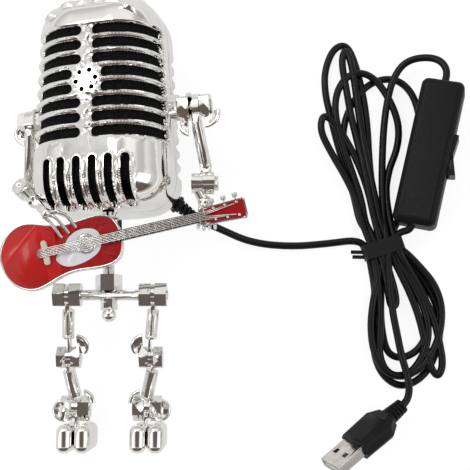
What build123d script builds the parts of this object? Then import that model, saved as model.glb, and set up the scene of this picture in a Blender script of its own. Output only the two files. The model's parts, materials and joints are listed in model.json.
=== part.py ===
from build123d import *
import os
from math import cos, pi, radians, sin, sqrt, tan

# Robot desk lamp: a microphone-shaped lamp head on a figure of rods, nuts and thumb nuts that plays a guitar.
# The robot lies on its back on the table: +Y towards its head, +Z out of its front, the table is z = 0.
# "Right" and "left" are the robot's own sides, so right is towards -X. Millimetres.
# Single pieces are built upright (+Z up, front towards -Y) and then laid down into place.

# ---- Head: lofted case, rounded at crown and chin
neck_point = (-8.6, 3.2, 27.0)      # middle of the head's bottom
head_turn = -13.0                   # turned about its own axis, front towards the robot's right
head_tilt = 1.7                     # leaning sideways
head_nod = 1.6                      # leaning back
head_height = 87.0
case_base = (58.0, 50.0, 20.0)      # width, depth and corner radius at the bottom
case_top = (50.0, 45.0, 18.0)       # the same at the top
crown_round = 16.0
chin_round = 11.5
case_wall = 2.0
seam_gap = 0.2
ridge_count = 6
ridge_pitch = 6.3
ridge_radius = 3.1
ridge_rise = 1.5                    # how far a ridge stands out of the crown
ridge_span = 38.0                   # front to back, where a ridge sinks into the crown
ridge_sink = 1.5                    # a ridge's middle line under the crown at its ends
crown_slot = (1.5, 26.0)            # width and length of the slots between the ridges
slot_height = 4.2
slot_pitch = 5.9
slot_first = 27.5                   # height of the lowest front slot
slot_rows = 8
slot_end = 6.0                      # distance of a slot's side end from the seam
rear_slot_end = 2.5                 # the same on the rear case, away from the shoulders
slot_rim = 0.5                      # width and depth of the step round a slot
rib_half = 2.1                      # half of the bar between the left and right slots
shield_half = 5.7                   # the same at the two rows beside the ring of holes
shield_rows = (3, 4)
rear_rows = 9
rear_first = 15.7
rear_rib_half = 9.0
ring_hole = 1.0
ring_radius = 4.0
chin_slots = 6
chin_slot_width = 3.2
chin_slot_top = 18.0
chin_slot_back = 13.0               # distance of a chin slot's lower end from the seam
chin_rim = 0.75
lining_gap = 0.08
lining_thick = 1.0
board = (26.0, 1.6, 56.0)           # LED board: width, thickness, height
board_y = 2.0
board_base = 14.0
led_size = (3.5, 1.2, 2.8)
led_rows = 5
led_columns = 5.5                   # distance of the two LED columns from the middle
stand_radius = 2.2
stand_heights = (22.0, 62.0)
post_radius = 3.4
post_reach = 10.0                   # length of a screw post in front of or behind the seam
post_web = 4.2
screw_places = [(-12.0, 5.6), (12.0, 5.6), (-9.45, 79.0), (9.45, 79.0)]
screw_radius = 1.25
screw_head = (2.2, 1.5)
wire_radius = 0.5

# ---- Threads, nuts and running fits
thread_gap = 0.05
play = 0.06                         # running clearance on a pin
face_gap = 0.1                      # between clamped faces that turn
seat_gap = 0.02                     # between pieces fixed to each other
small_nut = (8.0, 3.5)              # across flats, thickness
large_nut = (8.8, 4.5)
nut_bevel = 0.45
lobe_thick = 1.7

# ---- Shoulders
shoulder_height = 41.0              # above the head's bottom
shoulder_seat = {"right": 28.2, "left": 30.2}  # face of the seat on the case, from the head's axis
shoulder_inner_seat = 25.3
shoulder_boss = 5.2
shoulder_bolt_radius = 2.2
shoulder_bolt_head = (3.8, 2.4)     # radius, thickness
shoulder_flats = 8.0                # across the flats of the shoulder nuts
shoulder_nut = {"right": 2.2, "left": 3.9}
shoulder_washer_radius = 5.6
shoulder_washer = {"right": 1.0, "left": 1.1}
arm_eye_radius = 4.7
arm_eye = {"right": 3.4, "left": 3.8}
shoulder_thumb_nut = {"right": 3.2, "left": 3.8}
thumb_lobe = {"right": (35.9, -4.3, 4.6), "left": (41.2, -3.5, 5.0)}  # middle's distance, height and radius
nut_lobe = (35.5, -6.3, 5.3)
lobe_start = 3.4                    # lobes keep this far from the middle of an arm
lobe_stop = 14.0

# ---- Neck and pelvis
rod_radius = 2.3
neck_bolt_head = (4.2, 3.0)
neck_washer_radii = (5.2, 3.6)
neck_washer_thick = 2.2
coupling = (9.2, 15.5)              # hexagon across flats, length
thread_depth = 6.0
pelvis_nut = (9.2, 6.4)
hip_drop = 32.4                     # from the head's bottom to the hip bar
hip_bar_radius = 2.1
hip_x = {"right": -23.8, "left": 9.7}
hip_nut_turn = 30.0                 # brings a corner of the nuts to the front
bar_over = 0.5                      # bar ends beyond the outer nuts
pelvis_pin_radius = 1.3
cap_nut = (5.8, 4.2, 2.8)           # across flats, height, dome radius

# ---- Legs
knee_x = {"right": -24.4, "left": 8.4}
ankle_x = {"right": -22.7, "left": 6.4}
foot_shift = {"right": 1.2, "left": 0.8}  # middle of a foot from its ankle
leg_slope = 21.6                    # down to the table
thigh_length = 26.1
shin_length = 21.9
thigh_radius = 2.4
shin_radius = 2.6
hip_eye = (4.3, 1.5)
knee_eye = (3.9, 0.95)
ankle_eye = (4.2, 1.1)
pin_radius = 2.0
leg_lobe_start = 3.3                # lobes stand clear of the legs' rods
sole_drop = 16.8                    # from the ankle to the sole
foot_length = 24.0
toe_width = 6.4
toe_height = 11.0
toe_gap = 0.6
toe_round = 2.9

# ---- Arms
upper_arm_radius = 2.35
arm_flat = (3.2, 4.6, 6.4)          # flat beside an eye: thickness, width, length
right_elbow = (-42.5, 12.8, 26.5)
right_wrist = (-29.7, 0.5, 42.0)
chin_relief = 0.45                  # how far the right arm's pieces are kept from the case
left_elbow = (29.3, 14.0, 35.5)
elbow_eye = (3.7, 1.9)
elbow_flat = (3.6, 5.4)             # width and length of the flat beside an elbow eye
elbow_bolt = (1.5, 3.5, 1.6)        # shank radius, head radius, head height
elbow_socket = (1.7, 1.0)           # across corners radius, depth
forearm_radii = (2.35, 2.7, 1.8)    # sleeve, collar, wrist
left_arm_eye = (4.4, 4.4)
left_hand_eye = (3.9, 4.3)
left_elbow_bolt = (1.5, 2.9, 1.5)

# ---- Guitar, drawn with x along its neck and the sound hole at the origin
guitar_point = (-15.2, -10.4, 34.2)
guitar_angle = 13.2
guitar_thick = 5.0
guitar_half = [(-31.0, 8.0), (-22.8, 13.0), (-13.5, 10.8), (-6.5, 9.4), (5.4, 10.1), (11.4, 8.2)]
guitar_butt = -33.4
guitar_end = (13.8, 3.4)
enamel_rim = 0.7
enamel_depth = 0.6
pickguard_upper = [(-7.8, 1.2), (-6.2, 3.6), (-3.8, 5.2), (-0.8, 5.9), (2.2, 5.6), (4.6, 4.5), (5.9, 2.2)]
pickguard_lower = [(5.6, -1.8), (4.6, -3.5), (-0.2, -6.3), (-4.6, -7.2), (-8.4, -7.0), (-11.0, -5.5), (-12.2, -3.3), (-10.6, -1.0)]
pickguard_thick = 0.4
rosette = (3.9, 0.4)
neck_start = 8.6
neck_width = 4.2
neck_back = 3.2                     # height of the neck's back above the guitar's back
board_top = 6.3                     # height of the fingerboard
nut_x = 45.5
headstock = (17.6, 6.6, 8.0)        # length, width at the nut, width at the end
peg_spacing = 4.6
peg_first = 5.0
string_radius = 0.2
string_bend = 0.8                   # bend radius at the bridge and the nut
string_spacing = 0.6
string_count = 6
bridge_x = -15.6
bridge_size = (2.2, 9.4, 1.5)
string_height = 6.75

# ---- Hands
finger_radius = 0.65
right_knuckles = [(-30.8, -0.4, 42.0), (-28.0, 0.1, 42.5), (-25.9, 1.5, 42.5)]
right_joints = [(-28.6, -2.4, 41.7), (-26.2, -1.0, 41.8), (-22.7, 0.3, 42.0)]
right_tips = [(-24.4, -7.9, 40.9), (-21.8, -6.1, 40.9), (-19.1, -3.9, 40.9)]
palm_point = (30.2, 6.6, 33.6)
palm_radius = 2.9
left_finger_x = [27.6, 29.8, 32.0, 34.2]
left_tip_y = [-3.6, -4.2, -3.8, -3.4]
left_finger_z = 35.2
left_tip_z = 38.4

# ---- Cord
cord_radius = 1.55
exit_point = (23.7, 15.3, 5.4)      # on the case, in the head's own directions
exit_way = (0.68, 0.47, -0.56)
cord_inside = 5.0                   # cord inside the head
grommet_flange = (3.75, 1.2)
grommet_body = 2.5
grommet_taper = (3.0, 1.95, 9.0)    # radii and length of the strain relief
hank_thick = 6.4
tie_point = (104.3, -7.4)
tie_turn = 17.7
tie_size = (17.0, 6.5, 7.9)         # across the hank, along it, height
tie_wall = 1.1
switch_top = (131.0, 61.7)
switch_bottom = (116.0, 0.6)
switch_size = (18.0, 14.2)          # broad face, thickness
switch_round = 3.0
switch_roll = 15.0
switch_height = 12.0
switch_split = 1.2                  # seam of the two halves, in front of the middle
switch_wall = 1.6
rocker_size = (17.4, 7.6, 2.6)      # length, width, height of its ends above the face
rocker_pivot = 2.0                  # depth of its axis under the face
rocker_swing = 6.0
rocker_pin = (0.8, 5.2)             # radius, half length
plug_point = (110.0, -72.9, 8.0)    # back of the strain relief
plug_way = (-0.796, -0.605, 0.3)
plug_roll = 62.0
plug_relief = (3.0, 3.7, 8.5)       # radii and length
cord_in_plug = 7.0
plug_body = (16.0, 9.0, 18.5)       # width, thickness, length
shell_size = (12.0, 4.5, 12.8)      # width, thickness, length outside the grip
shell_wall = 0.35
shell_hidden = 6.0
tongue = (11.0, 1.9, 12.2)          # width, thickness, length outside the grip
lead_points = [(34.2, 0.6, 9.0), (48.3, -5.1, 3.2), (65.3, -6.6, 1.6), (81.5, -5.2, 1.6), (97.0, -3.2, 1.6)]
loop_points = [(132.4, 67.4, 12.0), (128.2, 72.8, 11.0), (121.3, 74.2, 9.0), (114.9, 72.0, 7.0), (110.9, 66.9, 5.5),
               (109.6, 60.6, 4.8)]
under_points = [(106.5, 67.0, 1.6), (113.4, 66.4, 1.6), (119.6, 60.4, 1.6), (122.6, 49.0, 1.6), (121.3, 32.0, 1.6),
                (116.2, 14.0, 1.6), (110.2, 1.4, 1.6)]
stub_points = [(112.2, 5.4, 6.4), (108.2, -2.0, 4.6)]
tail_points = [(107.0, -35.0, 5.2), (108.4, -43.0, 7.4), (110.0, -52.5, 8.0), (114.6, -64.2, 8.0)]
upper_hank = [(94.6, 3.0), (90.6, 14.5), (86.6, 22.5), (80.6, 33.5), (77.4, 45.0), (80.0, 57.5), (78.8, 65.0),
              (82.0, 74.5), (88.6, 83.3), (93.0, 79.0), (97.2, 71.5), (102.4, 68.8), (108.2, 61.4), (112.4, 53.2),
              (114.4, 44.0), (113.6, 34.8), (111.6, 25.6), (109.0, 13.0), (110.6, 3.0)]
lower_hank = [(115.4, -7.0), (121.0, -14.4), (126.8, -21.8), (130.2, -30.8), (130.3, -37.0), (128.4, -44.6),
              (129.4, -55.0), (129.2, -62.0), (124.4, -61.0), (117.2, -65.6), (109.6, -67.0), (102.4, -62.2),
              (98.8, -54.6), (98.2, -46.0), (99.3, -35.3), (99.5, -25.0), (97.8, -14.5)]

to_frame = Pos(1.5, -0.68, 0)       # brings the middle of the robot's footprint to the origin
laid = Rot(-90, 0, 0)


def unit(direction):
    """The direction at length one."""
    return Vector(*direction).normalized()


def rod(start, end, radius, end_radius=None):
    """A round bar or cone between two points."""
    way = Vector(*end) - Vector(*start)
    shape = Cylinder(radius, way.length) if end_radius is None else Cone(radius, end_radius, way.length)
    return Plane(origin=start, z_dir=way).location * Pos(0, 0, way.length / 2) * shape


def ball(point, radius):
    """A sphere at a point."""
    return Pos(*point) * Sphere(radius)


def disc(point, axis, radius, thick):
    """A disc round an axis, centred at a point."""
    return Plane(origin=point, z_dir=axis).location * Cylinder(radius, thick)


def flat_bar(start, end, axis, thick, width):
    """A flat bar between two points, thick along the axis."""
    way = Vector(*end) - Vector(*start)
    side = (Vector(*axis) - way.normalized() * Vector(*axis).dot(way.normalized())).normalized()
    place = Plane(origin=start, x_dir=side, z_dir=way).location
    return place * Pos(0, 0, way.length / 2) * Box(thick, width, way.length)


def x_disc(radius, thick, x=0.0):
    """A disc round the X axis, centred at x."""
    return Pos(x, 0, 0) * Rot(0, 90, 0) * Cylinder(radius, thick)


def hex_prism(across, length, bevel=nut_bevel):
    """A hexagonal prism on the Z axis with both ends turned down to a round edge."""
    corner = across / sqrt(3)
    blank = extrude(RegularPolygon(corner, 6), length / 2, both=True)
    turned = Cylinder(corner + nut_bevel, length)
    return blank & chamfer(turned.edges().filter_by(GeomType.CIRCLE), 1.6 * bevel, bevel)


def x_nut(size, x, bore):
    """A hexagon nut round the X axis with a flat towards the front, centred at x."""
    return Pos(x, 0, 0) * Rot(0, 90, 0) * (hex_prism(*size) - Cylinder(bore, 2 * size[1]))


def lobe(x, reach, radius, turn, start, stop):
    """A thumb lobe: a thin round plate with a rolled rim, kept between start and stop along X."""
    plate = Rot(90, 0, 0) * Cylinder(radius, 0.55 * lobe_thick)
    rim = Rot(90, 0, 0) * Torus(radius, lobe_thick / 2)
    room = Pos((start + stop) / 2, 0, 0) * Box(abs(stop - start), 60, 60)
    return Rot(turn, 0, 0) * ((Pos(x, 0, reach) * (plate + rim)) & room)


def thumb_nut(size, x, bore, wing):
    """A hexagon nut with one thumb lobe."""
    return Pos(x, 0, 0) * Rot(0, 90, 0) * hex_prism(*size) + wing - x_disc(bore, 120)


def eye_plate(radius, thick, length, width, x=0.0):
    """A flat tongue with a round end at the origin, reaching down by length."""
    return x_disc(radius, thick, x) + Pos(x, 0, -length / 2) * Box(thick, width, length)


def outline(points, height, rim=0.0):
    """A slab with a smooth closed outline, drawn in by rim; its points run clockwise seen from above."""
    curve = Spline(*points, periodic=True)
    if rim:
        steps = [i / 40 for i in range(40)]
        curve = Spline(*[curve @ t + (curve % t).rotate(Axis.Z, -90) * rim for t in steps], periodic=True)
    return extrude(make_face(curve), height, dir=(0, 0, 1))


# ---------------------------------------------------------------- head
neck_place = Pos(*neck_point) * Rot(0, 0, head_tilt) * Rot(-90 - head_nod, 0, 0)
head_place = neck_place * Rot(0, 0, head_turn)
shoulder_axis = (head_place * Pos(1, 0, 0)).position - head_place.position
sides = {"right": -1, "left": 1}
arm_x = {}
for side_name in sides:
    stack_end = shoulder_seat[side_name] + 2 * seat_gap + shoulder_nut[side_name] + shoulder_washer[side_name]
    arm_x[side_name] = stack_end + face_gap + arm_eye[side_name] / 2


def in_head(point):
    """A point of the head in the lamp's frame."""
    return (head_place * Pos(*point)).position


def case_blank(inset):
    """The head's outer form, drawn in by inset all round."""
    sections = []
    for height, (width, depth, corner) in ((inset, case_base), (head_height - inset, case_top)):
        sections.append(Pos(0, 0, height) * RectangleRounded(width - 2 * inset, depth - 2 * inset, corner - inset))
    blank = loft(sections)
    blank = fillet(blank.edges().group_by(Axis.Z)[-1], crown_round - inset)
    return fillet(blank.edges().group_by(Axis.Z)[0], chin_round - inset)


def crown_height(x, y):
    """Height of the crown's outer face over a point."""
    width, depth, corner = case_top
    out = Vector(max(0.0, abs(x) - width / 2 + corner), max(0.0, abs(y) - depth / 2 + corner)).length
    over = max(0.0, out - corner + crown_round)
    return head_height - (crown_round - sqrt(crown_round**2 - over**2))


def slot_cutter(inner, height, side, back, end, grow=0.0):
    """A slot from the middle bar to end, near the seam: back is -1 for the front case and 1 for the rear."""
    half = slot_height / 2 + grow
    reach, start, stop = 40.0, inner - grow, end - grow
    across = Pos(side * (start + half + reach / 2), back * (stop + half + reach / 2), 0) * Box(reach, reach, 2 * half)
    inner_end = Pos(side * (start + half), back * (reach / 2 + 10), 0) * Rot(90, 0, 0) * Cylinder(half, reach)
    side_end = Pos(side * (start + half + reach / 2), back * (stop + half), 0) * Rot(0, 90, 0) * Cylinder(half, reach)
    return Pos(0, 0, height) * (across + inner_end + side_end)


def chin_cutter(x, grow=0.0):
    """A slot that starts on the front and wraps under the chin."""
    half, depth = chin_slot_width / 2 + grow, 40.0
    back = chin_slot_back - grow
    top = chin_slot_top + grow - half
    body = Pos(x, -back - half - depth / 2, top / 2 - 10) * Box(2 * half, depth, top + 20)
    round_top = Pos(x, -back - half - depth / 2, top) * Rot(90, 0, 0) * Cylinder(half, depth)
    round_back = Pos(x, -back - half, -6) * Cylinder(half, 28)
    return body + [round_top, round_back]


def half_room(back, gap=seam_gap):
    """The space in front of (-1) or behind (1) the seam."""
    return Pos(0, back * (60 + gap / 2), 45) * Box(160, 120, 160)


def y_bar(x, height, start, stop, radius):
    """A round bar along Y between two distances from the seam."""
    return Pos(x, (start + stop) / 2, height) * Rot(90, 0, 0) * Cylinder(radius, abs(stop - start))


def head_cases():
    """Front and rear case with ridges, slots, shoulder seats and screw posts."""
    outer, inner, bed = case_blank(0), case_blank(case_wall), case_blank(case_wall - 0.5)
    ridge_xs = [ridge_pitch * (i - (ridge_count - 1) / 2) for i in range(ridge_count)]
    chin_xs = [ridge_pitch * (i - (chin_slots - 1) / 2) for i in range(chin_slots)]
    extras = []
    for x in ridge_xs:
        peak = crown_height(x, 0) - ridge_radius + ridge_rise
        ends = [(x, side * ridge_span / 2, crown_height(x, ridge_span / 2) - ridge_sink) for side in (-1, 1)]
        path = ThreePointArc(ends[0], (x, 0, peak), ends[1])
        extras.append(sweep(Plane(origin=path @ 0, z_dir=path % 0) * Circle(ridge_radius), path))
    for name, side in sides.items():
        extras.append(Pos(0, 0, shoulder_height) * x_disc(shoulder_boss, 7, side * (shoulder_seat[name] - 3.5)))
    shell = outer + extras - inner
    bores = [Pos(0, 0, shoulder_height) * x_disc(shoulder_bolt_radius + thread_gap, 80)]
    for side in (-1, 1):
        spot = x_disc(shoulder_bolt_head[0] + 0.6, 8, side * (shoulder_inner_seat - 4))
        bores.append(Pos(0, 0, shoulder_height) * spot)
    bores.append(Cylinder(rod_radius + play, 12))
    for i in range(ridge_count - 1):
        x = (ridge_xs[i] + ridge_xs[i + 1]) / 2
        bores.append(Pos(x, 0, head_height - 2) * Box(crown_slot[0], crown_slot[1], 20))
    shell -= bores
    skin = outer - case_blank(slot_rim)

    raised = (case_blank(-chin_rim) & Pos(0, -20, 8) * Box(80, 40, 30)) - inner
    raised &= Compound(children=[chin_cutter(x, chin_rim) for x in chin_xs])
    front_rows = []
    for k in range(slot_rows):
        middle = shield_half if slot_rows - 1 - k in shield_rows else rib_half
        front_rows += [(middle, slot_first + k * slot_pitch, side, -1, slot_end) for side in (-1, 1)]
    rear_rows_at = []
    for k in range(rear_rows):
        height = rear_first + k * slot_pitch
        beside = abs(height - shoulder_height) < shoulder_boss + slot_height / 2 + 2 * slot_rim
        end = slot_end if beside else rear_slot_end
        rear_rows_at += [(rear_rib_half, height, side, 1, end) for side in (-1, 1)]
    ring_height = slot_first + (slot_rows - 1 - sum(shield_rows) / 2) * slot_pitch
    openings = [chin_cutter(x) for x in chin_xs]
    for i in range(6):
        turn = radians(60 * i + 8)
        openings.append(y_bar(ring_radius * cos(turn), ring_height + ring_radius * sin(turn), -50, -10, ring_hole))

    posts, screw_holes = {-1: [], 1: []}, {-1: [], 1: []}
    for x, height in screw_places:
        edge = 0 if height < head_height / 2 else head_height
        for back, reach in ((-1, post_reach), (1, 40)):
            web = Pos(x, back * (seam_gap + post_reach) / 2, (height + edge) / 2)
            web *= Box(post_web, post_reach - seam_gap, abs(edge - height))
            posts[back].append((y_bar(x, height, back * seam_gap / 2, back * reach, post_radius) + web) & bed)
        screw_holes[-1].append(y_bar(x, height, 0, -post_reach + 1, screw_radius + thread_gap))
        screw_holes[1].append(y_bar(x, height, 0, post_reach + 1, screw_radius + 0.15))
        screw_holes[1].append(y_bar(x, height, post_reach, 40, screw_head[0] + 0.15))
    for height in stand_heights:
        posts[1].append(y_bar(0, height, board_y + board[1] / 2 + seat_gap, 40, stand_radius) & bed)

    gland = exit_place * Cylinder(grommet_body + seat_gap, 12)
    gland += exit_place * Pos(0, 0, 4) * Cylinder(grommet_flange[0] + thread_gap, 8 - 2 * seat_gap)
    front = (shell & half_room(-1)) + raised - [slot_cutter(*row) for row in front_rows] - openings
    front -= skin & Compound(children=[slot_cutter(*row, grow=slot_rim) for row in front_rows])
    rear = (shell & half_room(1)) - [slot_cutter(*row) for row in rear_rows_at]
    rear -= skin & Compound(children=[slot_cutter(*row, grow=slot_rim) for row in rear_rows_at])
    front = front + posts[-1] - screw_holes[-1]
    rear = rear + posts[1] - screw_holes[1] - gland
    return {"head_front_case": front, "head_rear_case": rear}


def linings():
    """Grille linings behind the slots, one in each case, clear of everything that reaches inside."""
    inset = case_wall + lining_gap
    band = case_blank(inset) - case_blank(inset + lining_thick)
    clear = [Pos(0, 0, shoulder_height) * x_disc(shoulder_bolt_head[0] + 0.8, 80), Cylinder(neck_bolt_head[0] + 0.6, 14)]
    clear.append(exit_place * Cylinder(grommet_flange[0] + 0.4, 16))
    for x, height in screw_places:
        edge = 0 if height < head_height / 2 else head_height
        clear.append(y_bar(x, height, -40, 40, post_radius + 0.3))
        clear.append(Pos(x, 0, (height + edge) / 2) * Box(post_web + 0.6, 2 * post_reach + 1, abs(edge - height)))
    clear += [y_bar(0, height, 0, 40, stand_radius + 0.3) for height in stand_heights]
    pieces = {}
    for name, back in (("front_grille_lining", -1), ("rear_grille_lining", 1)):
        pieces[name] = max(((band & half_room(back, 0.6)) - clear).solids(), key=lambda solid: solid.volume)
    return pieces


def head_inside():
    """LED board with its chips and screws, the case screws and the wires to the cord."""
    board_middle = board_base + board[2] / 2
    plate = Pos(0, board_y, board_middle) * Box(*board)
    face = board_y - board[1] / 2
    chips = []
    for i in range(led_rows):
        height = board_middle + (i - (led_rows - 1) / 2) * board[2] / led_rows
        chips += [Pos(x, face - seat_gap - led_size[1] / 2, height) * Box(*led_size) for x in (-led_columns, led_columns)]
    case_screws = []
    for x, height in screw_places:
        under = post_reach + seat_gap
        shank = y_bar(x, height, -post_reach + 2, under + 0.1, screw_radius)
        case_screws.append(shank + y_bar(x, height, under, under + screw_head[1], screw_head[0]))
    wires = []
    for x in (-1.3, 1.3):
        pad = Vector(x, board_y + board[1] / 2 + wire_radius + seat_gap, board_base + 3)
        cord_end = (exit_place * Pos(0.7 * x / 1.3, 0, -cord_inside - seat_gap)).position
        bend = Vector(10 + x, pad.Y, pad.Z)
        wires.append(rod(pad, bend, wire_radius) + ball(bend, wire_radius) + rod(bend, cord_end, wire_radius))
    return {"led_board": plate, "led_chips": chips, "case_screws": case_screws, "lamp_wires": wires}


def grommet():
    """Strain relief of the cord: inner flange, body through the wall, outer flange and taper."""
    inner_flange = Pos(0, 0, -case_wall - 1.6) * Cylinder(grommet_body + 0.6, 1.0)
    body = Pos(0, 0, -1.5) * Cylinder(grommet_body, 4)
    flange = Pos(0, 0, grommet_flange[1] / 2) * Cylinder(*grommet_flange)
    taper = Pos(0, 0, grommet_flange[1] + grommet_taper[2] / 2) * Cone(*grommet_taper)
    grooves = [Pos(0, 0, grommet_flange[1] + 2.0 * i + 1.6) * (Cylinder(4, 0.7) - Cylinder(1.95, 0.7)) for i in range(3)]
    return exit_place * (body + [inner_flange, flange, taper] - grooves - Cylinder(cord_radius + seat_gap, 40))


def shoulders():
    """Bolts, inner nuts, washers and thumb nuts on the two shoulder seats."""
    bolts, nuts, washers, thumbs = [], [], [], []
    place = Pos(0, 0, shoulder_height)
    bore = shoulder_bolt_radius + thread_gap
    for name, side in sides.items():
        eye_end = arm_x[name] + arm_eye[name] / 2
        head_end = shoulder_inner_seat - seat_gap
        shank_end = eye_end + face_gap + shoulder_thumb_nut[name] - 0.4
        bolt = x_disc(shoulder_bolt_radius, shank_end - head_end + 1, side * (shank_end + head_end - 1) / 2)
        bolt += x_disc(shoulder_bolt_head[0], shoulder_bolt_head[1], side * (head_end - shoulder_bolt_head[1] / 2))
        nut_at = shoulder_seat[name] + seat_gap + shoulder_nut[name] / 2
        nut = x_nut((shoulder_flats, shoulder_nut[name]), side * nut_at, bore)
        washer_at = nut_at + (shoulder_nut[name] + shoulder_washer[name]) / 2 + seat_gap
        washer = x_disc(shoulder_washer_radius, shoulder_washer[name], side * washer_at) - x_disc(bore, 100)
        if name == "left":
            wing = lobe(*nut_lobe, 0, shoulder_seat[name] + 0.3, arm_x[name] - lobe_start)
            wing -= x_disc(shoulder_washer_radius + 0.3, 10, washer_at - shoulder_washer[name] / 2 - seat_gap + 5)
            nut = nut + wing - x_disc(bore, 100)
        at, reach, radius = thumb_lobe[name]
        wing = lobe(side * at, reach, radius, 0, side * (arm_x[name] + lobe_start), side * (arm_x[name] + lobe_stop))
        wing -= x_disc(arm_eye_radius + 0.3, 10, side * (eye_end + face_gap - 5))
        thumb_at = side * (eye_end + face_gap + shoulder_thumb_nut[name] / 2)
        bolts.append(place * bolt)
        nuts.append(place * nut)
        washers.append(place * washer)
        thumbs.append(place * thumb_nut((shoulder_flats, shoulder_thumb_nut[name]), thumb_at, bore, wing))
    return {"shoulder_bolts": bolts, "shoulder_nuts": nuts, "shoulder_washers": washers, "shoulder_thumb_nuts": thumbs}


# ---------------------------------------------------------------- neck and pelvis
exit_place = Plane(origin=exit_point, z_dir=exit_way).location
hip_point = (neck_place * Pos(0, 0, -hip_drop)).position
bar_place = Pos(0, hip_point.Y, hip_point.Z) * laid


def spine():
    """Everything between the head and the hips."""
    washer_top = -face_gap
    coupling_top = washer_top - neck_washer_thick - seat_gap
    coupling_end = coupling_top - coupling[1]
    washer = Pos(0, 0, washer_top - neck_washer_thick / 2)
    washer *= Cone(neck_washer_radii[1], neck_washer_radii[0], neck_washer_thick)
    washer -= Cylinder(rod_radius + thread_gap, 20)
    sleeve = Pos(0, 0, (coupling_top + coupling_end) / 2) * hex_prism(*coupling)
    sleeve -= [Pos(0, 0, end) * Cylinder(rod_radius + thread_gap, 2 * thread_depth) for end in (coupling_top, coupling_end)]
    bolt_floor = case_wall + face_gap
    bolt = rod((0, 0, bolt_floor + 1), (0, 0, coupling_top - thread_depth + 0.5), rod_radius)
    bolt += Pos(0, 0, bolt_floor + neck_bolt_head[1] / 2) * Cylinder(*neck_bolt_head)
    bar_ends = [hip_x["right"] - hip_eye[1] / 2 - face_gap - large_nut[1] - bar_over,
                hip_x["left"] + hip_eye[1] / 2 + face_gap + large_nut[1] + bar_over]
    bar = bar_place * rod((bar_ends[0], 0, 0), (bar_ends[1], 0, 0), hip_bar_radius)
    saddle = bar_place * x_disc(hip_bar_radius + seat_gap, 100)
    pin_place = neck_place * Pos(0, 0, -hip_drop)
    bar -= pin_place * Cylinder(pelvis_pin_radius + thread_gap, 20)
    rod_end = -hip_drop + hip_bar_radius + 0.6
    long_rod = rod((0, 0, coupling_end + thread_depth - 0.5), (0, 0, rod_end), rod_radius)
    long_rod += rod((0, 0, rod_end + 1), (0, 0, -hip_drop - hip_bar_radius - 3), pelvis_pin_radius)
    nut = Pos(0, 0, -hip_drop + 1.4 + pelvis_nut[1] / 2) * hex_prism(*pelvis_nut)
    nut -= Cylinder(rod_radius + thread_gap, 100)
    cap_top = -hip_drop - 1.6
    dome_middle = cap_top - cap_nut[1] - 2.0
    cap = Pos(0, 0, cap_top - cap_nut[1] / 2) * hex_prism(cap_nut[0], cap_nut[1], 0.3)
    cap += rod((0, 0, cap_top - 1), (0, 0, dome_middle), 2.2) + ball((0, 0, dome_middle), cap_nut[2])
    cap -= Pos(0, 0, -hip_drop) * Cylinder(pelvis_pin_radius + thread_gap, 2 * (hip_bar_radius + 3.5))
    nuts = []
    for x in hip_x.values():
        for side in (-1, 1):
            at = x + side * (hip_eye[1] / 2 + face_gap + large_nut[1] / 2)
            nuts.append(bar_place * Rot(hip_nut_turn, 0, 0) * x_nut(large_nut, at, hip_bar_radius + thread_gap))
    return {"neck_washer": neck_place * washer, "neck_coupling": neck_place * sleeve, "neck_bolt": neck_place * bolt,
            "neck_rod": neck_place * long_rod, "hip_bar": bar, "pelvis_nut": neck_place * nut - saddle,
            "pelvis_cap_nut": neck_place * cap - saddle, "hip_nuts": nuts}


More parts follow.
